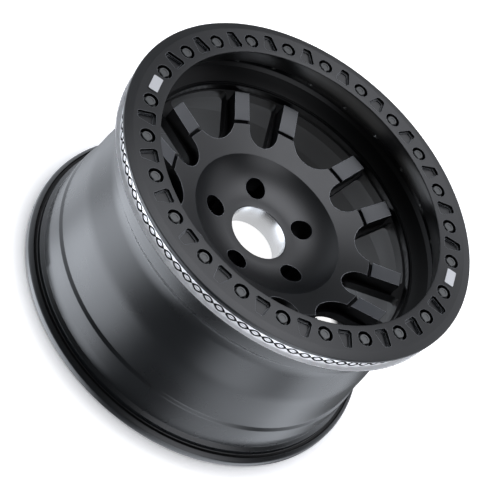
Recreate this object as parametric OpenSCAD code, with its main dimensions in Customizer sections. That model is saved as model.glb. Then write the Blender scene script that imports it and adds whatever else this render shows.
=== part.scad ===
// A clamp-ring car wheel, drawn standing on its rear flange.
// The origin is the centre of the hub's mounting face, +Z points out of the wheel's front and +X runs
// through a lug hole. Heights are above the mounting face and depths are below the surface they start from.

/* [Rim outside] */
// Radius of the bead seats at the front flange, which goes with the tyre's size
bead_seat_r = 218.7; // [216:0.1:221]
// Height of the front flange over the bead seat
front_flange_h = 14.1; // [12:0.1:16]
// Height of the bright band, between the front flange and the clamp ring, over the bead seat
band_h = 8.3; // [7:0.1:9.5]
// Distance from the clamp ring's seat to the back of the front flange
front_flange_t = 10.1; // [8:0.1:13]
// Width of the band from that seat to the flange
band_w = 5.5; // [4.8:0.1:6]
// Thickness of the flange at its edge
flange_edge_t = 1.6; // [1:0.1:3]
// Width of the slant behind that edge
flange_slant_w = 5.4; // [3:0.1:7]
// Height of the rear flange over the bead seat
rear_flange_h = 16.9; // [15:0.1:20]
// Height of the seat that the clamp ring is bolted to
seat_height = 117.5; // [114:0.5:124]
// Depth of the rear edge under the mounting face
rear_depth = 120.5; // [112:0.5:130]
// Width of the front bead seat
front_seat_w = 29; // [26:0.5:32]
// Fall of the front bead seat across its width
front_seat_fall = 1.5; // [0.5:0.1:2.5]
// Width of the slope from the front bead seat to the well
well_slope_w = 13.8; // [11:0.1:17]
// Depth of the well, the deepest part of the rim, under the bead seats
well_d = 14.7; // [12:0.1:17]
// Height and width of the turn from that slope into the well
well_turn_h = 2.5; // [1:0.1:4]
well_turn_w = 3; // [2:0.5:6]
// Width of the well's floor
well_floor_w = 11.6; // [8:0.1:14]
// Width of the long ramp from the well up to the barrel
ramp_w = 48; // [42:0.5:54]
// Depth of the barrel under the bead seats, behind the ramp
barrel_front_d = 6.5; // [5:0.1:8]
// Depth of the barrel under the bead seats, before the rear seat
barrel_rear_d = 2.5; // [1:0.1:4]
// Distance of the barrel's end from the rear edge
barrel_end_from_rear = 63.8; // [60:0.1:68]
// Width of the step from the barrel up to the safety hump
hump_step_w = 4.2; // [3:0.1:6]
// Height of the safety hump over the bead seat
hump_h = 1.8; // [1:0.1:2.5]
// Distance of the hump's crest from the rear edge
hump_from_rear = 38.2; // [34:0.1:42]
// Step from the hump down to the rear bead seat
hump_drop = 0.9; // [0.5:0.1:1.5]
// Distance of the rear bead seat's end from the rear edge
seat_end_from_rear = 22.8; // [20:0.1:25]
// Slope of the rear flange from the seat to the lip, in degrees
flange_slope = 39; // [30:0.5:45]
// Width of that slope between the seat and the groove in it
groove_from_seat = 4.2; // [3:0.1:6]
// Width of the groove in the rear flange
flange_groove_w = 5.3; // [4:0.1:7]
// Depth of that groove
flange_groove_d = 4.5; // [3:0.1:6]
// Thickness of the rounded rear lip
lip_t = 8; // [6:0.1:9]

/* [Rim inside] */
// Thickness of the barrel's wall
barrel_t = 7; // [6:0.1:8.5]
// Room for the bolt tips in the undercut behind the front flange
undercut_room = 1.1; // [0.8:0.1:2]
// Width of the undercut's slope up to the ridge
ridge_w = 4.5; // [3:0.1:6]
// Height of the ridge over the undercut's floor
ridge_h = 3.9; // [2.5:0.1:5]
// Depth of the ridge under the seat
ridge_depth = 30.2; // [28:0.1:33]
// Depth of the sill, the foot of the cone below the ridge, under the seat
sill_depth = 40.5; // [39:0.1:42]
// Width of the sill over the moat
sill_w = 3.6; // [2:0.1:5]
// Step from the sill down to the moat's edge
sill_step = 2.1; // [1.5:0.1:3]
// How much smaller the moat's radius is than the ring's inner edge
moat_inset = 1.4; // [0.5:0.1:2.5]

/* [Disc] */
// Thickness of the hub at the bowl's floor
hub_t = 32.8; // [30:0.1:36]
// Width of the mounting pad outside the lug holes
pad_rim_w = 0.8; // [0.5:0.1:4]
// Radius of the centre bore
bore_r = 37; // [32:0.1:42]
// Radius of the bowl's edge
bowl_r = 99.3; // [97:0.1:101]
// Radius of the curve of the bowl's side
bowl_curve_r = 74; // [68:0.5:78]
// Slope of the bowl's side at its edge
bowl_edge_angle = 45; // [40:1:48]
// Slope of the disc's front, in degrees
front_slope = 19.5; // [18:0.5:21]
// Slope of the disc's back, in degrees
back_slope = 15.5; // [14:0.5:17]
// Thickness of the disc at the windows' outer end
disc_t = 32.6; // [30:0.1:34]
// Distance from the spoke pads' outer ends to the windows' outer ends
pad_gap = 11.9; // [10:0.1:15]
// Radius of the groove between the star and the spoke pads
groove_r = 139.5; // [137.5:0.1:142]
// Width of that groove
groove_w = 4.6; // [3.5:0.1:5.5]
// Width of the flat floor of that groove
groove_floor_w = 0.8; // [0.5:0.1:1.5]
// Depth of that groove
groove_d = 4; // [2.5:0.1:5]
// Depth of the windows' ledge under the spoke pads' outer ends
ledge_depth = 18.9; // [17:0.1:20]
// Slope of the ledge, in degrees
ledge_slope = 17; // [15:0.5:19]
// Depth of the moat's floor under the ledge
moat_step = 0.6; // [0.4:0.1:1.5]
// Width and depth of the turn from the disc's back into the hub's pad
pad_turn = 8; // [5:0.5:12]

/* [Windows] */
// Number of spoke pairs
pair_count = 6; // [5:1:6]
// Distance from the windows' outer ends to the moat's outer wall
window_rim_w = 2.1; // [1.5:0.1:4]
// Radius of the rounded corners at the outer ends
window_corner_r = 8; // [5:0.5:10]
// Distance of the narrow windows' round ends from the axis
narrow_at = 129.8; // [127:0.1:132]
// Radius of the narrow windows' round ends
narrow_r = 20; // [18:0.1:21]
// Angle between each side of a narrow window and its middle
narrow_flare = 7.35; // [6:0.05:8.5]
// Distance of the wide windows' round ends from the axis
wide_at = 153.2; // [151:0.1:155]
// Radius of the wide windows' round ends
wide_r = 34; // [32:0.1:35]
// Angle between each side of a wide window and its middle
wide_flare = 25; // [23:0.5:26.5]
// Width of the ledge at the windows' round ends
ledge_tip_w = 5; // [4:0.1:6]
// Width of the ledge at the pads' outer ends
ledge_end_w = 2; // [1.5:0.1:3]

/* [Lug holes] */
// Number of lug holes
lug_count = 5; // [5:1:6]
// Diameter of the circle that the lug holes lie on
lug_circle_d = 127; // [120:0.1:130]
// Radius of the lug holes' mouths
lug_mouth_r = 13.7; // [12.5:0.1:15]
// Height at which a mouth turns into its nut seat
lug_seat_height = 17; // [15:0.1:19]
// Radius of the stud holes
stud_hole_r = 7.5; // [6.5:0.1:8]
// Angle between the two sides of a nut seat
nut_seat_angle = 60; // [60:1:90]

/* [Clamp ring] */
// How much smaller the clamp ring is than the rear flange
ring_inset = 0.9; // [0:0.1:3]
// Distance from the bolts' circle to the inner edge of the ring's face
ring_in_w = 17.4; // [15:0.1:20]
// Thickness of the clamp ring
ring_t = 20.5; // [18:0.1:23]
// Slope of the ring's inner wall, in degrees from the axis
throat_flare = 19.8; // [17:0.1:20.5]
// Width of the slope at the edge of the ring's face
ring_slope_w = 10.5; // [8:0.1:13]
// Fall of the face from there to the rim
ring_face_fall = 2; // [1:0.1:3]
// Thickness of the ring's outer rim
ring_edge_t = 3.5; // [2.5:0.1:5]
// Width of the rim's flat underside
ring_under_w = 2; // [1:0.1:3]
// Height of the bright band on the ring, over its seat
ring_band_h = 4.9; // [4.6:0.1:6]
// Number of badge plates, evenly spaced
badge_count = 2; // [1:1:2]
// Angle of the first badge plate
badge_angle = 67.5; // [7.5:15:112.5]

/* [Pockets] */
// Distance from the bolts' circle to the pockets' inner ends
pocket_in_w = 10.1; // [8:0.1:12]
// Distance from the bolts' circle to the pockets' outer ends
pocket_out_w = 13; // [10:0.1:15]
// Half of a pocket's greatest width
pocket_half_w = 9.7; // [8:0.1:10.5]
// Half of a pocket's width at its outer end
pocket_out_half_w = 5.2; // [4.5:0.1:7]
// Length and width of the cut corners at a pocket's inner end
pocket_corner = 3.5; // [2.5:0.1:4.5]
pocket_corner_w = 2.3; // [1.5:0.1:3]
// Depth of the pockets' ledge
pocket_ledge_d = 3.5; // [2.5:0.1:4.5]
// Depth of the pockets' floor under the ledge
pocket_floor_d = 1.5; // [1:0.1:2.5]
// Width of the ledge at a pocket's ends
pocket_end_ledge = 2.4; // [1.5:0.1:3]
// Width of the ledge at a pocket's sides
pocket_side_ledge = 1.2; // [0.8:0.1:2]

/* [Bolts] */
// Number of bolts in the clamp ring
bolt_count = 24; // [20:1:24]
// Distance from the bolts' circle to the outside of the band
bolt_edge = 20.6; // [19:0.1:22]
// Radius of a bolt's shank
bolt_r = 4; // [3:0.1:4.2]
// Width of a bolt's head across its flats
bolt_head_w = 12.7; // [12:0.1:13.2]
// Height of a bolt's six-sided head
bolt_head_h = 5.2; // [4:0.1:5.5]
// How far the turned-off corners of a head reach in over its flats
bolt_chamfer = 0.6; // [0.3:0.1:1]
// Radius and depth of the dish in a head's top
bolt_dish_r = 3.8; // [2.5:0.1:4.5]
bolt_dish_d = 0.5; // [0.2:0.1:1]
// Turn of each head from the one before, in degrees
bolt_turn = 23; // [0:1:59]
// Radius of the flange under a bolt's head
bolt_flange_r = 8.5; // [7.9:0.1:8.9]
// Thickness of that flange
bolt_flange_t = 1.6; // [1.2:0.1:1.8]
// Length of shank that stands out behind the front flange
bolt_tip = 5; // [3:0.1:7]
// Radius of the recesses for the bolt heads
head_recess_r = 9.7; // [9.3:0.1:10.2]
// Depth of those recesses
head_recess_d = 7.4; // [7.3:0.1:9]

/* [Band] */
// Number of links in the chain of grooves round the bright band
link_count = 90; // [72:1:96]
// Half of a link's height at the outside of its groove
link_half_h = 4.3; // [3.8:0.1:4.5]
// Width of the groove at a link's top and bottom
link_groove_w = 1.7; // [1.2:0.1:2.2]
// Width of the groove at a link's two ends
link_end_w = 2.9; // [2:0.1:3.5]
// Depth of the grooves
link_groove_d = 2; // [1.2:0.1:2.5]

/* [Badges] */
// Length of a badge plate along the ring
badge_l = 24; // [20:0.5:28]
// Width of a badge plate across the ring
badge_w = 12; // [10:0.5:16]
// Thickness of a badge plate
badge_t = 1; // [0.6:0.1:1.5]
// Radius of a badge plate's corners
badge_corner_r = 1.5; // [1:0.1:4]
// Distance of a plate's middle outwards from the bolts' circle
badge_out = 1.5; // [0:0.1:3]

/* [Hidden] */

// Gap between a tapped hole and its bolt, and the wider gap in the ring's clearance holes
thread_gap = 0.05;
hole_gap = 0.4;
// How far a cutting shape stands out of the surface that it cuts
over = 1;
// Corner radii: the long soft turns of the ramp, broad blends of the casting, small blends, and turned and
// broken edges
ramp_blend_r = 150;
blend_r = 8;
small_blend_r = 3;
turned_edge_r = 1.2;
broken_edge_r = 0.7;
// Straight pieces in a rounded corner, in a larger arc and in a wave, and the facets of a true circle
corner_steps = 5;
arc_steps = 20;
wave_steps = 8;
$fn = 96;

bolt_step = 360 / bolt_count;
pair_step = 360 / pair_count;
ring_top = seat_height + ring_t;
flange_back = seat_height - front_flange_t;
rear_edge = -rear_depth;

// Radii that follow from the bead seats, from the outside in
rear_flange_r = bead_seat_r + rear_flange_h;
front_flange_r = bead_seat_r + front_flange_h;
band_r = bead_seat_r + band_h;
ring_r = rear_flange_r - ring_inset;
bolt_circle_r = band_r - bolt_edge;
undercut_r = bolt_circle_r + bolt_r + undercut_room;
ridge_r = undercut_r - ridge_h;
ring_in_r = bolt_circle_r - ring_in_w;
moat_r = ring_in_r - moat_inset;
sill_r = moat_r + sill_w;
window_end_r = moat_r - window_rim_w;
pad_end_r = window_end_r - pad_gap;

// The disc's front is one cone, and its ledge and its back are two more
bowl_floor_r = bowl_r - bowl_curve_r * sin(bowl_edge_angle);
bowl_edge_height = hub_t + bowl_curve_r * (1 - cos(bowl_edge_angle));
function front_at(r) = bowl_edge_height + (r - bowl_r) * tan(front_slope);
function ledge_at(r) = front_at(pad_end_r) - ledge_depth + (r - pad_end_r) * tan(ledge_slope);
function back_at(r) = front_at(window_end_r) - disc_t + (r - window_end_r) * tan(back_slope);
function throat_at(depth) = ring_in_r + depth * tan(throat_flare);
moat_edge = seat_height - sill_depth - sill_step;
hub_pad_r = lug_circle_d / 2 + lug_mouth_r + pad_rim_w;

// The rear flange is a cone that starts at the end of the rear bead seat
rear_seat_r = bead_seat_r + hump_h;
seat_end = rear_edge + seat_end_from_rear;
function flange_at(r) = seat_end - (r - rear_seat_r) * tan(flange_slope);
flange_groove_in_r = rear_seat_r + groove_from_seat;
flange_groove_out_r = flange_groove_in_r + flange_groove_w;
flange_groove_floor = flange_at(flange_groove_in_r + flange_groove_w / 2) - flange_groove_d;

// Rounds the corner at b, between a and c, by the radius in its third place
function unit(v) = v / norm(v);
function corner(a, b, c) =
    let (u = unit([a[0] - b[0], a[1] - b[1]]),
         v = unit([c[0] - b[0], c[1] - b[1]]),
         half = acos(max(-1, min(1, u * v))) / 2,
         room = 0.45 * min(norm([a[0] - b[0], a[1] - b[1]]), norm([c[0] - b[0], c[1] - b[1]])),
         r = min(b[2], room * tan(half)))
    r < 0.01 ? [[b[0], b[1]]] :
    let (middle = [b[0], b[1]] + unit(u + v) * r / sin(half),
         start = [b[0], b[1]] + u * r / tan(half) - middle,
         side = u[0] * v[1] - u[1] * v[0] > 0 ? -1 : 1,
         sweep = side * (180 - 2 * half))
    [for (i = [0:corner_steps])
        let (t = sweep * i / corner_steps)
        middle + [start[0] * cos(t) - start[1] * sin(t), start[0] * sin(t) + start[1] * cos(t)]];
function rounded(path) =
    let (n = len(path))
    [for (i = [0:n - 1]) each corner(path[(i + n - 1) % n], path[i], path[(i + 1) % n])];

// Points of an arc about a centre, each with no rounding of its own
function arc(centre, r, from, to, steps) =
    [for (i = [0:steps])
        let (t = from + (to - from) * i / steps)
        [centre[0] + r * cos(t), centre[1] + r * sin(t), 0]];

// Section of the wheel as [radius, height, corner radius], from the seat outwards, down the outside of the
// rim, round the rear lip and back up the inside
lip_r = lip_t / 2;
lip_centre = [rear_flange_r - lip_r, rear_edge + lip_r];
well_r = bead_seat_r - well_d;
well_top = flange_back - front_seat_w - well_slope_w;
well_end = well_top - well_turn_w - well_floor_w;
ramp_end = well_end - ramp_w;
function ramp_at(z) = well_r + (well_end - z) / ramp_w * (well_d - barrel_front_d);
barrel_end = rear_edge + barrel_end_from_rear;
hump_top = rear_edge + hump_from_rear;
rim_outside = concat(
    [[throat_at(ring_t), seat_height, 0],
     [band_r, seat_height, 0],
     [band_r, seat_height - band_w, broken_edge_r],
     [front_flange_r, seat_height - band_w, broken_edge_r],
     [front_flange_r, seat_height - band_w - flange_edge_t, broken_edge_r],
     [front_flange_r - flange_slant_w, flange_back, small_blend_r],
     [bead_seat_r, flange_back, small_blend_r],
     [bead_seat_r - front_seat_fall, flange_back - front_seat_w, turned_edge_r],
     [well_r + well_turn_h, well_top, blend_r],
     [well_r, well_top - well_turn_w, blend_r],
     [well_r, well_end, ramp_blend_r],
     [ramp_at(ramp_end), ramp_end, ramp_blend_r],
     [bead_seat_r - barrel_rear_d, barrel_end, small_blend_r],
     [bead_seat_r, barrel_end - hump_step_w, small_blend_r],
     [rear_seat_r, hump_top, 0],
     [rear_seat_r - hump_drop, hump_top - hump_drop, 0],
     [rear_seat_r, seat_end, broken_edge_r],
     [flange_groove_in_r, flange_at(flange_groove_in_r), broken_edge_r],
     [flange_groove_in_r, flange_groove_floor, turned_edge_r],
     [flange_groove_out_r, flange_groove_floor, turned_edge_r],
     [flange_groove_out_r, flange_at(flange_groove_out_r), turned_edge_r],
     [rear_flange_r, flange_at(rear_flange_r), small_blend_r]],
    arc(lip_centre, lip_r, 0, -180, 10));
// The inside runs parallel to the outside, with its turns a little further back
disc_root = back_at(window_end_r) - blend_r;
inside_shift = 3;
lip_root_w = 5.5;
rim_inside = [
    [rear_flange_r - lip_t - lip_root_w, rear_edge + lip_t, small_blend_r],
    [bead_seat_r - barrel_t, seat_end - inside_shift, blend_r],
    [bead_seat_r - barrel_t, barrel_end - hump_step_w - inside_shift, small_blend_r],
    [bead_seat_r - barrel_rear_d - barrel_t, barrel_end - inside_shift, small_blend_r],
    [ramp_at(ramp_end) - barrel_t, ramp_end, blend_r],
    [ramp_at(disc_root) - barrel_t, disc_root, blend_r],
    [window_end_r, back_at(window_end_r), small_blend_r]];
hub_back = [
    [hub_pad_r + pad_turn, back_at(hub_pad_r + pad_turn), blend_r],
    [hub_pad_r, back_at(hub_pad_r + pad_turn) - pad_turn, small_blend_r],
    [hub_pad_r, 0, turned_edge_r],
    [bore_r, 0, broken_edge_r],
    [bore_r, hub_t, turned_edge_r]];
disc_front = concat(
    arc([bowl_floor_r, hub_t + bowl_curve_r], bowl_curve_r, 270, 270 + bowl_edge_angle, arc_steps),
    [[groove_r - groove_w, front_at(groove_r - groove_w), 0],
     [groove_r - groove_floor_w, front_at(groove_r) - groove_d, 0],
     [groove_r, front_at(groove_r) - groove_d, 0],
     [groove_r, front_at(groove_r), broken_edge_r],
     [pad_end_r, front_at(pad_end_r), broken_edge_r],
     [pad_end_r, ledge_at(pad_end_r) - moat_step, turned_edge_r],
     [moat_r, ledge_at(moat_r) - moat_step, turned_edge_r]]);
rim_mouth = [
    [moat_r, moat_edge, broken_edge_r],
    [sill_r, moat_edge, broken_edge_r],
    [sill_r, seat_height - sill_depth, broken_edge_r],
    [ridge_r, seat_height - ridge_depth, turned_edge_r],
    [undercut_r, seat_height - ridge_depth + ridge_w, small_blend_r],
    [undercut_r, flange_back, turned_edge_r],
    [throat_at(ring_t + front_flange_t), flange_back, broken_edge_r]];

// Plan of a window with its middle along +X: a round end, two straight sides that touch it, and an outer end
// that is an arc about the axis, in pieces that are longer than its corners' radius
function side_reach(at, r, flare, end_r) =
    let (start = [at - r * sin(flare), r * cos(flare)],
         along = start[0] * cos(flare) + start[1] * sin(flare))
    sqrt(along * along + end_r * end_r - start * start) - along;
function side_end(at, r, flare, end_r) =
    [at - r * sin(flare), r * cos(flare)] + side_reach(at, r, flare, end_r) * [cos(flare), sin(flare)];
end_piece_l = 1.6;
function window_path(at, r, flare, end_r, corner_r) =
    let (tip = side_end(at, r, flare, end_r),
         half = atan2(tip[1], tip[0]),
         pieces = max(2, floor(2 * half * PI / 180 * end_r / (end_piece_l * window_corner_r))))
    rounded(concat(
        arc([at, 0], r, 90 + flare, 270 - flare, arc_steps),
        [[tip[0], -tip[1], corner_r]],
        [for (i = [1:pieces - 1])
            let (t = half * (2 * i / pieces - 1))
            [end_r * cos(t), end_r * sin(t), 0]],
        [[tip[0], tip[1], corner_r]]));

// The opening inside the ledge flares a little more, so that the ledge narrows from its tip to its end
function inner_flare(at, r, flare) =
    let (tip = side_end(at, r, flare, pad_end_r),
         reach = [tip[1] - ledge_end_w / cos(flare), tip[0] - at])
    acos((r - ledge_tip_w) / norm(reach)) - atan2(reach[1], reach[0]);

module window_cut(at, r, flare) {
    // Above the ledge, as far as the moat
    intersection() {
        linear_extrude(height = seat_height)
            polygon(window_path(at, r, flare, pad_end_r + over, 0));
        rotate_extrude()
            polygon([[bowl_r, ledge_at(bowl_r)], [window_end_r, ledge_at(window_end_r)],
                     [window_end_r, seat_height], [bowl_r, seat_height]]);
    }
    // Through the disc
    linear_extrude(height = seat_height)
        polygon(window_path(at, r - ledge_tip_w, inner_flare(at, r, flare), window_end_r, window_corner_r));
}

module lug_cut() {
    seat_h = (lug_mouth_r - stud_hole_r) / tan(nut_seat_angle / 2);
    translate([0, 0, lug_seat_height])
        cylinder(r = lug_mouth_r, h = seat_height);
    translate([0, 0, lug_seat_height - seat_h])
        cylinder(r1 = stud_hole_r, r2 = lug_mouth_r, h = seat_h);
    translate([0, 0, -over])
        cylinder(r = stud_hole_r, h = lug_seat_height);
}

// One link of the chain: the groove between two waves, cut into the band from outside
function wave(half_l, half_h, steps) = concat(
    [for (i = [0:steps]) let (t = 2 * i / steps - 1) [half_h * cos(90 * t), half_l * t]],
    [for (i = [1:steps - 1]) let (t = 1 - 2 * i / steps) [-half_h * cos(90 * t), half_l * t]]);
link_half_l = PI * band_r / link_count;
link_overlap = 0.3;
module link_cut() {
    translate([band_r + over, 0, seat_height])
        rotate([0, -90, 0])
            linear_extrude(height = over + link_groove_d)
                difference() {
                    polygon(wave(link_half_l + link_overlap, link_half_h, wave_steps));
                    polygon(wave(link_half_l - link_end_w, link_half_h - link_groove_w, wave_steps));
                }
}
module chain_cut() {
    for (i = [0:link_count - 1])
        rotate([0, 0, i * 360 / link_count])
            link_cut();
}

module wheel() {
    color("#26282b")
    difference() {
        rotate_extrude()
            polygon(rounded(concat(rim_outside, rim_inside, hub_back, disc_front, rim_mouth)));
        for (i = [0:pair_count - 1]) {
            rotate([0, 0, i * pair_step])
                window_cut(narrow_at, narrow_r, narrow_flare);
            rotate([0, 0, (i + 0.5) * pair_step])
                window_cut(wide_at, wide_r, wide_flare);
        }
        for (i = [0:lug_count - 1])
            rotate([0, 0, i * 360 / lug_count])
                translate([lug_circle_d / 2, 0, 0])
                    lug_cut();
        for (i = [0:bolt_count - 1])
            rotate([0, 0, i * bolt_step])
                translate([bolt_circle_r, 0, flange_back - over])
                    cylinder(r = bolt_r + thread_gap, h = front_flange_t + 2 * over);
        chain_cut();
    }
}

// A pocket has a ledge round its floor, and its plan narrows outwards
pocket_in_r = bolt_circle_r - pocket_in_w;
pocket_out_r = bolt_circle_r + pocket_out_w;
function pocket_path(end_in, side_in) = rounded([
    [pocket_in_r + end_in, -(pocket_half_w - pocket_corner_w - side_in), broken_edge_r],
    [pocket_in_r + pocket_corner + end_in / 2, -(pocket_half_w - side_in), turned_edge_r],
    [pocket_out_r - end_in, -(pocket_out_half_w - side_in), small_blend_r],
    [pocket_out_r - end_in, pocket_out_half_w - side_in, small_blend_r],
    [pocket_in_r + pocket_corner + end_in / 2, pocket_half_w - side_in, turned_edge_r],
    [pocket_in_r + end_in, pocket_half_w - pocket_corner_w - side_in, broken_edge_r]]);
module pocket_cut() {
    translate([0, 0, ring_top - pocket_ledge_d])
        linear_extrude(height = pocket_ledge_d + over)
            polygon(pocket_path(0, 0));
    translate([0, 0, ring_top - pocket_ledge_d - pocket_floor_d])
        linear_extrude(height = pocket_floor_d + over)
            polygon(pocket_path(pocket_end_ledge, pocket_side_ledge));
}

// The places of the badge plates stay flat
badge_spots = [for (i = [0:badge_count - 1]) floor(badge_angle / bolt_step) + i * bolt_count / badge_count];
function has_badge(i) = len([for (b = badge_spots) if (abs(b - i) < 0.5) b]) > 0;

ring_rim = ring_top - ring_face_fall;
ring_section = [
    [throat_at(ring_t), seat_height, 0],
    [ring_in_r, ring_top, turned_edge_r],
    [ring_r - ring_slope_w, ring_top, small_blend_r],
    [ring_r, ring_rim, turned_edge_r],
    [ring_r, ring_rim - ring_edge_t, broken_edge_r],
    [ring_r - ring_under_w, ring_rim - ring_edge_t, turned_edge_r],
    [band_r, seat_height + ring_band_h, broken_edge_r],
    [band_r, seat_height, 0]];
module clamp_ring() {
    color("#34373a")
    difference() {
        rotate_extrude()
            polygon(rounded(ring_section));
        for (i = [0:bolt_count - 1])
            rotate([0, 0, i * bolt_step]) {
                translate([bolt_circle_r, 0, ring_top - head_recess_d])
                    cylinder(r = head_recess_r, h = head_recess_d + over);
                translate([bolt_circle_r, 0, seat_height - over])
                    cylinder(r = bolt_r + hole_gap, h = ring_t);
                if (!has_badge(i))
                    rotate([0, 0, bolt_step / 2])
                        pocket_cut();
            }
        chain_cut();
    }
}

// A hexagon head on a round flange, with its corners turned off and a shallow dish in its top
module bolt(i) {
    head_r = bolt_head_w / sqrt(3);
    base = ring_top - head_recess_d;
    top = bolt_flange_t + bolt_head_h;
    chamfer = head_r - bolt_head_w / 2 + bolt_chamfer;
    color("#5b5e61")
    rotate([0, 0, (i - 1) * bolt_step])
        translate([bolt_circle_r, 0, base])
            difference() {
                union() {
                    cylinder(r = bolt_flange_r, h = bolt_flange_t);
                    intersection() {
                        rotate([0, 0, bolt_turn * i])
                            cylinder(r = head_r, h = top, $fn = 6);
                        rotate_extrude()
                            polygon([[0, 0], [head_r + over, 0], [head_r + over, top - chamfer - over],
                                     [head_r - chamfer, top], [0, top]]);
                    }
                    translate([0, 0, flange_back - base - bolt_tip])
                        cylinder(r = bolt_r, h = base - flange_back + bolt_tip + bolt_flange_t / 2);
                }
                translate([0, 0, top - bolt_dish_d])
                    cylinder(r = bolt_dish_r, h = bolt_dish_d + over);
            }
}

module badge(i) {
    middle = bolt_circle_r + badge_out;
    color("#d9dadb")
    rotate([0, 0, (badge_spots[i - 1] + 0.5) * bolt_step])
        translate([0, 0, ring_top])
            linear_extrude(height = badge_t)
                polygon(rounded([
                    [middle - badge_w / 2, -badge_l / 2, badge_corner_r],
                    [middle + badge_w / 2, -badge_l / 2, badge_corner_r],
                    [middle + badge_w / 2, badge_l / 2, badge_corner_r],
                    [middle - badge_w / 2, badge_l / 2, badge_corner_r]]));
}

wheel();
clamp_ring();
for (i = [1:bolt_count]) bolt(i);
for (i = [1:badge_count]) badge(i);
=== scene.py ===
from math import cos, hypot, radians, sin, tan

import bmesh
import bpy
import numpy as np
from mathutils import Euler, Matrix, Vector


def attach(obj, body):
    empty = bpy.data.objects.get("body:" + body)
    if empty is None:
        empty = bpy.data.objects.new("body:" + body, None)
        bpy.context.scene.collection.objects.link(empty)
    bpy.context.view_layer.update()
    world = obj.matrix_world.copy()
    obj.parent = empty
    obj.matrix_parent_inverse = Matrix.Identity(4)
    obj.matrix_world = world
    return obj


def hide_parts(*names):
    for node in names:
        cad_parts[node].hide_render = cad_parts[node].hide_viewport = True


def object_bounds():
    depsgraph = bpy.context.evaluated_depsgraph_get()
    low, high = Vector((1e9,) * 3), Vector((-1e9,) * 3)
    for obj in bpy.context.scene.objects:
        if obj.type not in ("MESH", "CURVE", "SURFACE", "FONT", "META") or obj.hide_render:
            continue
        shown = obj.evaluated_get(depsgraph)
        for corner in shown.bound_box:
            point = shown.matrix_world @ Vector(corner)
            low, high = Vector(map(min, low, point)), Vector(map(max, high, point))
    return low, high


# A clamp-ring car wheel standing on its rear flange. Lengths are in metres.
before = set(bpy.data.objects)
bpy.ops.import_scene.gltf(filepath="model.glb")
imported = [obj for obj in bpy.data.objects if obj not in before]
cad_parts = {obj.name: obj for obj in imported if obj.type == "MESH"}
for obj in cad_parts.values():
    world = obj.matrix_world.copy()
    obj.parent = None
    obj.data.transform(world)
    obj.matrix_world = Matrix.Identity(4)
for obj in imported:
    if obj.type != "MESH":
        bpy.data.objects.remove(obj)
cad_low, cad_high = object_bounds()
MM = 0.001

# Places on the wheel that its finishes follow
BAND_RADIUS = 227.0 * MM
BAND_TOP = 122.4 * MM
BAND_FOOT = 112.0 * MM
FLANGE_RADIUS = 232.8 * MM
CHAIN_DEPTH = 2.0 * MM
BORE_RADIUS = 37.0 * MM
BORE_TOP = 32.8 * MM
BOWL_RADIUS = 99.3 * MM
BOWL_HEIGHT = 54.5 * MM
FACE_SLOPE = tan(radians(19.5))
GROOVE_RADIUS = 139.5 * MM
PAD_END = 173.6 * MM
THROAT_FOOT = 70.0 * MM
THROAT_RADIUS = 186.5 * MM
UNDERCUT_RADIUS = 212.0 * MM
RIM_INSIDE = 195.0 * MM

# Places on the clamp ring
RING_TOP = 138.0 * MM
RING_MOUTH = 197.0 * MM
RECESS_REACH = 225.0 * MM
RECESS_DEPTH = 7.4 * MM
POCKET_DEPTH = 5.0 * MM

# How far a face may lie from its place: least on a turned surface, more on the sloping face and on a
# cut's floor, and most by a rounded edge
CLOSE = 0.3 * MM
FACE_CLOSE = 0.5 * MM
EDGE_CLOSE = 0.8 * MM
# The upward part of a normal above which a face is level, and above which it is a slope
LEVEL = 0.5
SLOPE = 0.3

# How the CAD meshes are merged and smoothed. A normal on a turned surface has hardly any sideways part.
MERGE_DISTANCE = 0.002 * MM
SMOOTH_LIMIT = radians(22)
TURNED_SIDEWAYS = 0.07
TINY = 1e-12

# Sizes of the finishes' patterns. Real orange peel is finer, and is drawn as coarse as it needs to show.
PEEL_SIZE = 1.6 * MM
CLOUD_SIZE = 60 * MM
BLOTCH_SIZE = 3 * MM
BUMP_DEPTH = 0.05 * MM
PEEL_STRENGTH = 0.06
LATHE_STRENGTH = 0.25
# The part of a noise that a colour or a roughness follows, and how far the roughness wanders with it
NOISE_LOW = 0.3
NOISE_HIGH = 0.7
COAT_UNEVEN = 0.02
ZINC_UNEVEN = 0.06

# Rounded edges: their radii, how far the painted shade spreads over them, and the cosine of the surface's
# bend where a painted highlight or painted shade begins and where it is full
COAT_EDGE = 1.1 * MM
RING_EDGE = 0.8 * MM
BOLT_EDGE = 0.4 * MM
EDGE_SHADE_SPREAD = 0.7 * MM
BEND_START = 0.995
BEND_FULL = 0.85

# The photograph's camera, in the wheel's own frame
CAMERA_AT = Vector((-1191.7, 943.0, 1398.8)) * MM
CAMERA_TURN = Euler((radians(38.119), radians(-30.648), radians(-95.607)))
CAMERA_LENS = 123.04

# The floor's glow, by distance from the axle: full up to the first radius, which paints the floor white
# under the wheel where its shadow falls; none between the second and the third, a painted ring of shade
# round the flange; pale from the fourth on, which washes out most of the wheel's cast shadow there
FLOOR_HEIGHT = cad_low[2]
FLOOR_HALF_SIDE = 6.0
WHEEL_RADIUS = cad_high[0]
WHITE_TO = 0.87 * WHEEL_RADIUS
PAINTED_SHADE_FROM = 0.92 * WHEEL_RADIUS
PAINTED_SHADE_TO = 0.96 * WHEEL_RADIUS
PALE_FROM = 1.09 * WHEEL_RADIUS
PALE_GLOW = 0.62
# Reflections see the floor up to this distance from the axle, and the cards beyond it
HUB_REACH = 160 * MM

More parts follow.
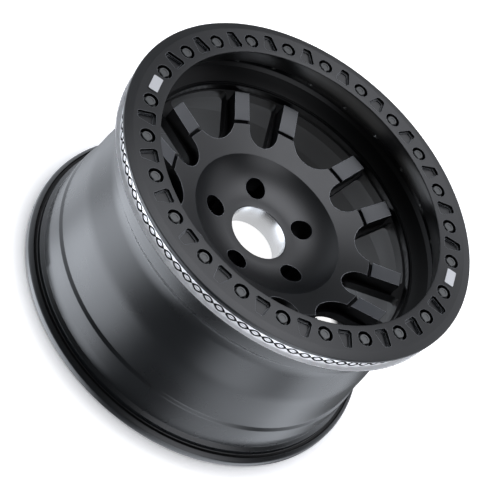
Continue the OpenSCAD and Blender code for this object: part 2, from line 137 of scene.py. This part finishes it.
# Soft cards of the studio, in whole steps: azimuth, height, angle of the bright core, angle of the edge,
# strength and colour. Those above the horizon give the face and the ring their grey, and those below it
# are what the barrel mirrors as long gleams.
STUDIO_GREY = 0.09
NEUTRAL_WHITE = "#f6f8ff"
COOL_WHITE = "#f0f6ff"
CARDS = [
    (320, 70, 5, 30, 5.0, NEUTRAL_WHITE),
    (295, 30, 20, 35, 1.0, NEUTRAL_WHITE),
    (200, 40, 5, 30, 2.5, NEUTRAL_WHITE),
    (85, -50, 15, 35, 4.5, COOL_WHITE),
    (45, -15, 20, 70, 2.0, COOL_WHITE),
    (190, -10, 5, 30, 5.0, COOL_WHITE),
    (255, -15, 20, 35, 2.0, COOL_WHITE),
    (220, -55, 5, 35, 2.5, COOL_WHITE),
]


# Node helpers

def linear(hex_colour):
    """The linear colour of an sRGB hex value."""
    parts = [int(hex_colour[i:i + 2], 16) / 255 for i in (1, 3, 5)]
    return [c / 12.92 if c <= 0.04045 else ((c + 0.055) / 1.055) ** 2.4 for c in parts] + [1.0]


def add(tree, kind, values=None, links=None, **settings):
    """Adds a node, sets its properties and sockets, and links other sockets into it."""
    node = tree.nodes.new(kind)
    for name, value in settings.items():
        setattr(node, name, value)
    for name, value in (values or {}).items():
        node.inputs[name].default_value = value
    for name, socket in (links or {}).items():
        tree.links.new(socket, node.inputs[name])
    return node


def new_material(name):
    """An empty node material, its node tree and its Principled shader."""
    material = bpy.data.materials.new(name)
    material.use_nodes = True
    tree = material.node_tree
    tree.nodes.clear()
    shader = add(tree, "ShaderNodeBsdfPrincipled")
    output = add(tree, "ShaderNodeOutputMaterial")
    tree.links.new(shader.outputs["BSDF"], output.inputs["Surface"])
    return material, tree, shader


# Finishes

def round_the_axle(tree, shader, strength):
    """Stretches a surface's gloss outwards, as fine rings from the lathe do."""
    shader.inputs["Anisotropic"].default_value = strength
    shader.inputs["Anisotropic Rotation"].default_value = 0.25
    tangent = add(tree, "ShaderNodeTangent", direction_type="RADIAL", axis="Z")
    tree.links.new(tangent.outputs["Tangent"], shader.inputs["Tangent"])


def near_edges(tree, rounding):
    """How near a point is to a sharp edge, from 0 to 1, where a Bevel node rounds the surface."""
    flat = add(tree, "ShaderNodeNewGeometry").outputs["Normal"]
    bent = add(tree, "ShaderNodeVectorMath", None, {0: rounding.outputs["Normal"], 1: flat},
               operation="DOT_PRODUCT")
    near = add(tree, "ShaderNodeMapRange",
               {"From Min": BEND_START, "From Max": BEND_FULL, "To Min": 0.0, "To Max": 1.0},
               {"Value": bent.outputs["Value"]})
    return near.outputs["Result"]


def powder_coat(name, colours, roughness, specular=0.5, turned=0.0, edge=0.0, painted_highlight=None):
    """Black powder coat on aluminium: satin, with a fine orange peel and a slight cloudiness. Given an
    edge, it rounds the sharp edges. Given a painted highlight colour, a paler painted highlight is drawn
    along those edges."""
    material, tree, shader = new_material(name)
    place = add(tree, "ShaderNodeTexCoord").outputs["Object"]
    peel = add(tree, "ShaderNodeTexNoise", {"Scale": 1 / PEEL_SIZE, "Detail": 2.0}, {"Vector": place})
    cloud = add(tree, "ShaderNodeTexNoise", {"Scale": 1 / CLOUD_SIZE, "Detail": 3.0}, {"Vector": place})
    colour = add(tree, "ShaderNodeValToRGB", links={"Fac": cloud.outputs["Fac"]})
    colour.color_ramp.elements[0].position = NOISE_LOW
    colour.color_ramp.elements[0].color = linear(colours[0])
    colour.color_ramp.elements[1].position = NOISE_HIGH
    colour.color_ramp.elements[1].color = linear(colours[1])
    coat = colour.outputs["Color"]
    rough = add(tree, "ShaderNodeMapRange",
                {"From Min": NOISE_LOW, "From Max": NOISE_HIGH,
                 "To Min": roughness - COAT_UNEVEN, "To Max": roughness + COAT_UNEVEN},
                {"Value": cloud.outputs["Fac"]})
    bump = add(tree, "ShaderNodeBump", {"Strength": PEEL_STRENGTH, "Distance": BUMP_DEPTH},
               {"Height": peel.outputs["Fac"]})
    if edge:
        rounding = add(tree, "ShaderNodeBevel", {"Radius": edge}, samples=8)
        tree.links.new(rounding.outputs["Normal"], bump.inputs["Normal"])
    if painted_highlight:
        mixed = add(tree, "ShaderNodeMix", {"B": linear(painted_highlight)}, data_type="RGBA")
        tree.links.new(near_edges(tree, rounding), mixed.inputs["Factor"])
        tree.links.new(coat, mixed.inputs["A"])
        coat = mixed.outputs["Result"]
    tree.links.new(coat, shader.inputs["Base Color"])
    tree.links.new(rough.outputs["Result"], shader.inputs["Roughness"])
    tree.links.new(bump.outputs["Normal"], shader.inputs["Normal"])
    shader.inputs["Specular IOR Level"].default_value = specular
    if turned:
        round_the_axle(tree, shader, turned)
    return material


def turned_aluminium(name, colour, roughness, pitch, metallic=1.0, painted_shade=None):
    """Bare aluminium from the lathe: bright, with fine rings that run round the axis. Given a painted
    shade colour, it is drawn darker along its sharp edges: painted shade."""
    material, tree, shader = new_material(name)
    place = add(tree, "ShaderNodeTexCoord").outputs["Object"]
    axes = add(tree, "ShaderNodeSeparateXYZ", links={"Vector": place})
    flat = add(tree, "ShaderNodeCombineXYZ", links={"X": axes.outputs["X"], "Y": axes.outputs["Y"]})
    radius = add(tree, "ShaderNodeVectorMath", links={0: flat.outputs["Vector"]}, operation="LENGTH")
    rings = add(tree, "ShaderNodeCombineXYZ", links={"X": radius.outputs["Value"], "Y": axes.outputs["Z"]})
    cut = add(tree, "ShaderNodeTexNoise", {"Scale": 1 / pitch, "Detail": 2.0},
              {"Vector": rings.outputs["Vector"]})
    bump = add(tree, "ShaderNodeBump", {"Strength": LATHE_STRENGTH, "Distance": BUMP_DEPTH},
               {"Height": cut.outputs["Fac"]})
    shader.inputs["Base Color"].default_value = linear(colour)
    if painted_shade:
        rounding = add(tree, "ShaderNodeBevel", {"Radius": EDGE_SHADE_SPREAD}, samples=8)
        edge_shade_mix = add(tree, "ShaderNodeMix", {"A": linear(colour), "B": linear(painted_shade)}, data_type="RGBA")
        tree.links.new(near_edges(tree, rounding), edge_shade_mix.inputs["Factor"])
        tree.links.new(edge_shade_mix.outputs["Result"], shader.inputs["Base Color"])
    shader.inputs["Metallic"].default_value = metallic
    shader.inputs["Roughness"].default_value = roughness
    tree.links.new(bump.outputs["Normal"], shader.inputs["Normal"])
    return material


def zinc_steel(name, colour, roughness):
    """Black zinc on a steel bolt: dark metal, a little uneven."""
    material, tree, shader = new_material(name)
    place = add(tree, "ShaderNodeTexCoord").outputs["Object"]
    blotch = add(tree, "ShaderNodeTexNoise", {"Scale": 1 / BLOTCH_SIZE, "Detail": 3.0}, {"Vector": place})
    rough = add(tree, "ShaderNodeMapRange",
                {"From Min": NOISE_LOW, "From Max": NOISE_HIGH,
                 "To Min": roughness - ZINC_UNEVEN, "To Max": roughness + ZINC_UNEVEN},
                {"Value": blotch.outputs["Fac"]})
    rounding = add(tree, "ShaderNodeBevel", {"Radius": BOLT_EDGE}, samples=4)
    shader.inputs["Base Color"].default_value = linear(colour)
    shader.inputs["Metallic"].default_value = 1.0
    tree.links.new(rough.outputs["Result"], shader.inputs["Roughness"])
    tree.links.new(rounding.outputs["Normal"], shader.inputs["Normal"])
    return material


# Pieces from the CAD nodes

def turned_faces(points, faces, normals):
    """For each triangle, whether it lies on a surface turned round the Z axis, and the outward part that
    its normal has there."""
    centres = points[faces].mean(axis=1)
    azimuth = np.arctan2(centres[:, 1], centres[:, 0])
    outward = normals[:, 0] * np.cos(azimuth) + normals[:, 1] * np.sin(azimuth)
    sideways = -normals[:, 0] * np.sin(azimuth) + normals[:, 1] * np.cos(azimuth)
    outward_part = np.sqrt(np.clip(1 - normals[:, 2] ** 2, 0, 1)) * np.sign(outward)
    return np.abs(sideways) < TURNED_SIDEWAYS, outward_part


def corner_angles(points, faces):
    """The angle of each triangle at each of its three corners."""
    angles = np.zeros((len(faces), 3))
    for k in range(3):
        corner = points[faces[:, k]]
        to_next = points[faces[:, (k + 1) % 3]] - corner
        to_last = points[faces[:, (k + 2) % 3]] - corner
        lengths = np.linalg.norm(to_next, axis=1) * np.linalg.norm(to_last, axis=1)
        cosine = (to_next * to_last).sum(axis=1) / np.maximum(lengths, TINY)
        angles[:, k] = np.arccos(np.clip(cosine, -1, 1))
    return angles


def smooth_turned(mesh):
    """Gives a merged triangle mesh normals that are true on its turned surfaces and soft across edges
    flatter than the limit."""
    points = np.array([v.co for v in mesh.vertices])
    faces = np.array([p.vertices[:] for p in mesh.polygons])
    normals = np.array([p.normal for p in mesh.polygons])
    turned, outward = turned_faces(points, faces, normals)
    azimuth = np.arctan2(points[:, 1], points[:, 0])[faces]
    on_turned = np.stack([outward[:, None] * np.cos(azimuth), outward[:, None] * np.sin(azimuth),
                          np.repeat(normals[:, 2:3], 3, axis=1)], axis=2)
    own = np.where(turned[:, None, None], on_turned, normals[:, None, :]).reshape(-1, 3)
    weights = corner_angles(points, faces).reshape(-1)
    corner_vertex = faces.reshape(-1)
    order = np.argsort(corner_vertex, kind="stable")
    starts = np.searchsorted(corner_vertex[order], np.arange(len(points) + 1))
    result = own.copy()
    for first, last in zip(starts[:-1], starts[1:]):
        corners = order[first:last]
        group = own[corners]
        near = (group @ group.T > cos(SMOOTH_LIMIT)) * weights[corners][None, :]
        result[corners] = near @ group
    result /= np.maximum(np.linalg.norm(result, axis=1, keepdims=True), TINY)
    mesh.polygons.foreach_set("use_smooth", np.ones(len(faces), dtype=bool))
    mesh.normals_split_custom_set(result.tolist())


def merged_copy(node, name, finishes, finish_of=None):
    """A piece that stands for a CAD node: its triangles merged, with soft normals. finishes holds its
    materials by name, and finish_of names the one that a face has."""
    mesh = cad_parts[node].data.copy()
    mesh.name = name
    work = bmesh.new()
    work.from_mesh(mesh)
    bmesh.ops.remove_doubles(work, verts=work.verts, dist=MERGE_DISTANCE)
    bmesh.ops.triangulate(work, faces=work.faces)
    work.to_mesh(mesh)
    work.free()
    mesh.materials.clear()
    for material in finishes.values():
        mesh.materials.append(material)
    if finish_of:
        place = {finish: index for index, finish in enumerate(finishes)}
        for face in mesh.polygons:
            face.material_index = place[finish_of(face.center, face.normal)]
    smooth_turned(mesh)
    piece = bpy.data.objects.new(name, mesh)
    bpy.context.scene.collection.objects.link(piece)
    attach(piece, "root")
    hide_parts(node)


def on_band(centre, normal):
    """Whether a face is on the bright band under the ring, or on the ledge at its foot."""
    radius = hypot(centre.x, centre.y)
    if normal.z > LEVEL:
        return BAND_RADIUS - CLOSE < radius < FLANGE_RADIUS and abs(centre.z - BAND_FOOT) < EDGE_CLOSE
    return BAND_FOOT < centre.z < BAND_TOP and abs(radius - BAND_RADIUS) < CLOSE


def in_chain(centre):
    """Whether a face is on the walls or the floor of the chain of grooves in the band."""
    depth = BAND_RADIUS - hypot(centre.x, centre.y)
    return BAND_FOOT < centre.z < BAND_TOP and CLOSE < depth < CHAIN_DEPTH + CLOSE


def wheel_finish(centre, normal):
    """The name of the finish that a face of the wheel has."""
    radius = hypot(centre.x, centre.y)
    if on_band(centre, normal):
        return "band"
    if in_chain(centre):
        return "painted_shade"
    if abs(radius - BORE_RADIUS) < CLOSE and 0 < centre.z < BORE_TOP:
        return "bore"
    face_height = BOWL_HEIGHT + (radius - BOWL_RADIUS) * FACE_SLOPE
    if BOWL_RADIUS < radius < PAD_END and abs(centre.z - face_height) < FACE_CLOSE:
        return "face" if radius < GROOVE_RADIUS else "pads"
    if radius < BOWL_RADIUS and centre.z > BORE_TOP - EDGE_CLOSE and normal.z > SLOPE:
        return "face"
    if centre.z > THROAT_FOOT and THROAT_RADIUS < radius < UNDERCUT_RADIUS:
        return "throat"
    faces_outwards = centre.x * normal.x + centre.y * normal.y > 0
    return "rim" if radius > RIM_INSIDE and faces_outwards else "cast_in_painted_shade"


def ring_finish(centre, normal):
    """The name of the finish that a face of the clamp ring has."""
    radius = hypot(centre.x, centre.y)
    depth = RING_TOP - centre.z
    if on_band(centre, normal):
        return "band"
    if in_chain(centre):
        return "painted_shade"
    if radius < RING_MOUTH and normal.z < LEVEL:
        return "throat"
    in_cut = radius < RECESS_REACH and CLOSE < depth < RECESS_DEPTH + EDGE_CLOSE
    if in_cut and (normal.z < LEVEL or depth > POCKET_DEPTH + FACE_CLOSE):
        return "recess"
    return "ring"


def make_wheel_and_ring():
    # Smooth coat on the turned outside of the rim, which mirrors the studio's cards as long soft bands
    rim = powder_coat("satin_black_powder_coat_on_the_rim", ("#0c0d0f", "#0f1113"), 0.28, specular=0.43)
    # Bare metal from the lathe, a little dulled: it stays pale from every side. Near black along its sharp
    # edges: painted shade.
    band = turned_aluminium("turned_aluminium_band", "#f2f2f3", 0.5, 0.5 * MM, metallic=0.6,
                            painted_shade="#050505")
    # Bored and polished: bright, with soft streaks round the bore
    bore = turned_aluminium("polished_aluminium_bore", "#b6b7b9", 0.22, 1.5 * MM)
    # The turned star and bowl under the coat: their rings stretch the highlights outwards. Paler along
    # their sharp edges: a painted highlight.
    face = powder_coat("satin_black_powder_coat_on_the_face", ("#0c0d0f", "#0f1113"), 0.36,
                       specular=0.45, turned=0.3, edge=COAT_EDGE, painted_highlight="#8a8d92")
    # Milled pad faces at the spoke ends, greyer than the star, and paler along their sharp edges: a
    # painted highlight
    pads = powder_coat("satin_black_powder_coat_on_the_pads", ("#36383b", "#3b3d41"), 0.42,
                       edge=COAT_EDGE, painted_highlight="#9a9da2")
    # Window walls, grooves and the back: darker and less glossy than the face, a painted shade in the
    # hollows of the casting
    cast_in_painted_shade = powder_coat("black_coat_with_painted_shade_on_the_casting", ("#050506", "#070708"), 0.45,
                       specular=0.16)
    # The deep throat inside the ring: darker and less glossy than the face, a painted shade, near black
    # with long faint gleams
    throat = powder_coat("black_coat_with_painted_shade_in_the_throat", ("#060607", "#08090a"), 0.32,
                         specular=0.17)
    # Near black on the walls and floor of the milled chain: a painted shade, which draws it sharply on the
    # bare band
    painted_shade = powder_coat("near_black_painted_shade_in_the_chain_grooves", ("#050505", "#070707"), 0.6, specular=0.2)
    merged_copy("wheel", "wheel_body",
                {"rim": rim, "band": band, "bore": bore, "face": face, "pads": pads, "cast_in_painted_shade": cast_in_painted_shade,
                 "throat": throat, "painted_shade": painted_shade}, wheel_finish)
    # The ring's faces are turned too, more coarsely, so that it gleams along one line across the axle.
    # Paler along its sharp edges: a painted highlight.
    ring = powder_coat("satin_black_powder_coat_on_the_ring", ("#0c0d0f", "#0f1113"), 0.34,
                       specular=0.44, turned=0.9, edge=RING_EDGE, painted_highlight="#74777b")
    # The bolt recesses and the walls of the pockets: near black with little gloss, a painted shade where
    # hardly any light comes in
    recess = powder_coat("black_coat_with_painted_shade_in_the_recesses", ("#020202", "#030303"), 0.6,
                         specular=0.12, edge=RING_EDGE)
    merged_copy("clamp_ring", "ring_body",
                {"ring": ring, "band": band, "painted_shade": painted_shade, "throat": throat, "recess": recess},
                ring_finish)


def make_bolts():
    # Black zinc with a dull metallic grey shine on the heads
    steel = zinc_steel("black_zinc_steel", "#4e4f4f", 0.4)
    for name in sorted(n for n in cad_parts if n.startswith("bolt_")):
        merged_copy(name, name + "_steel", {"steel": steel})


def make_badges():
    # Blank plates, brushed round the axle
    plate = turned_aluminium("satin_aluminium_plate", "#a4a5a7", 0.42, 0.6 * MM)
    for name in sorted(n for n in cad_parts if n.startswith("badge_")):
        merged_copy(name, name + "_plate", {"plate": plate})


# Stage

def floor_material():
    """White paper with a glow painted by distance from the axle: painted white through the hub where the
    wheel's shadow falls, a painted ring of shade under the rear flange, and pale around the wheel. Beyond
    the hub it lets reflections pass, so that the barrel mirrors the cards below the horizon."""
    material, tree, shader = new_material("white_paper_with_painted_glow")
    place = add(tree, "ShaderNodeTexCoord").outputs["Object"]
    from_axle = add(tree, "ShaderNodeVectorMath", links={0: place}, operation="LENGTH")
    inside = add(tree, "ShaderNodeMapRange",
                 {"From Min": WHITE_TO, "From Max": PAINTED_SHADE_FROM, "To Min": 1.0, "To Max": 0.0},
                 {"Value": from_axle.outputs["Value"]})
    around = add(tree, "ShaderNodeMapRange",
                 {"From Min": PAINTED_SHADE_TO, "From Max": PALE_FROM, "To Min": 0.0, "To Max": PALE_GLOW},
                 {"Value": from_axle.outputs["Value"]})
    painted_glow = add(tree, "ShaderNodeMath", None,
                     {0: inside.outputs["Result"], 1: around.outputs["Result"]}, operation="ADD")
    seen = add(tree, "ShaderNodeLightPath")
    shown = add(tree, "ShaderNodeMath", None,
                {0: seen.outputs["Is Camera Ray"], 1: seen.outputs["Is Glossy Ray"]}, operation="MAXIMUM")
    glow = add(tree, "ShaderNodeMath", None,
               {0: shown.outputs["Value"], 1: painted_glow.outputs["Value"]}, operation="MULTIPLY")
    beyond = add(tree, "ShaderNodeMath", {1: HUB_REACH}, {0: from_axle.outputs["Value"]},
                 operation="GREATER_THAN")
    passed = add(tree, "ShaderNodeMath", None,
                 {0: seen.outputs["Is Glossy Ray"], 1: beyond.outputs["Value"]}, operation="MULTIPLY")
    clear = add(tree, "ShaderNodeBsdfTransparent")
    paper = add(tree, "ShaderNodeMixShader", None,
                {0: passed.outputs["Value"], 1: shader.outputs["BSDF"], 2: clear.outputs["BSDF"]})
    output = next(n for n in tree.nodes if n.type == "OUTPUT_MATERIAL")
    tree.links.new(paper.outputs["Shader"], output.inputs["Surface"])
    shader.inputs["Base Color"].default_value = linear("#f4f4f4")
    shader.inputs["Roughness"].default_value = 0.9
    shader.inputs["Emission Color"].default_value = (1, 1, 1, 1)
    tree.links.new(glow.outputs["Value"], shader.inputs["Emission Strength"])
    return material


def make_floor():
    mesh = bpy.data.meshes.new("studio_floor")
    work = bmesh.new()
    bmesh.ops.create_grid(work, x_segments=1, y_segments=1, size=FLOOR_HALF_SIDE)
    work.to_mesh(mesh)
    work.free()
    floor = bpy.data.objects.new("studio_floor", mesh)
    floor.location.z = FLOOR_HEIGHT
    mesh.materials.append(floor_material())
    bpy.context.scene.collection.objects.link(floor)
    floor.visible_shadow = False


def direction(azimuth, height):
    """The unit vector at an azimuth and a height above the horizon, both in degrees."""
    a, h = radians(azimuth), radians(height)
    return Vector((cos(h) * cos(a), cos(h) * sin(a), sin(h)))


def make_world():
    """The studio's cards as the light, and plain white where the camera sees past the wheel."""
    world = bpy.data.worlds.new("studio")
    bpy.context.scene.world = world
    world.use_nodes = True
    tree = world.node_tree
    tree.nodes.clear()
    way = add(tree, "ShaderNodeTexCoord").outputs["Generated"]
    total = add(tree, "ShaderNodeCombineXYZ", {"X": STUDIO_GREY, "Y": STUDIO_GREY, "Z": STUDIO_GREY})
    for azimuth, height, core, edge, strength, colour in CARDS:
        facing = add(tree, "ShaderNodeVectorMath", {1: direction(azimuth, height)}, {0: way},
                     operation="DOT_PRODUCT")
        glow = add(tree, "ShaderNodeMapRange",
                   {"From Min": cos(radians(edge)), "From Max": cos(radians(core)),
                    "To Min": 0.0, "To Max": strength},
                   {"Value": facing.outputs["Value"]}, interpolation_type="SMOOTHSTEP")
        total = add(tree, "ShaderNodeVectorMath", {1: linear(colour)[:3]},
                    {0: glow.outputs["Result"], 2: total.outputs["Vector"]}, operation="MULTIPLY_ADD")
    studio = add(tree, "ShaderNodeBackground", {"Strength": 1.0}, {"Color": total.outputs["Vector"]})
    white = add(tree, "ShaderNodeBackground", {"Color": (1, 1, 1, 1), "Strength": 1.0})
    seen = add(tree, "ShaderNodeLightPath").outputs["Is Camera Ray"]
    mix = add(tree, "ShaderNodeMixShader", None,
              {0: seen, 1: studio.outputs["Background"], 2: white.outputs["Background"]})
    add(tree, "ShaderNodeOutputWorld", None, {"Surface": mix.outputs["Shader"]})


def make_camera():
    data = bpy.data.cameras.new("camera")
    data.sensor_width = 36.0
    data.lens = CAMERA_LENS
    data.clip_end = 50.0
    camera = bpy.data.objects.new("camera", data)
    camera.location = CAMERA_AT
    camera.rotation_euler = CAMERA_TURN
    bpy.context.scene.collection.objects.link(camera)
    bpy.context.scene.camera = camera


make_wheel_and_ring()
make_bolts()
make_badges()
make_floor()
make_world()
make_camera()
bpy.context.scene.view_settings.view_transform = "Standard"
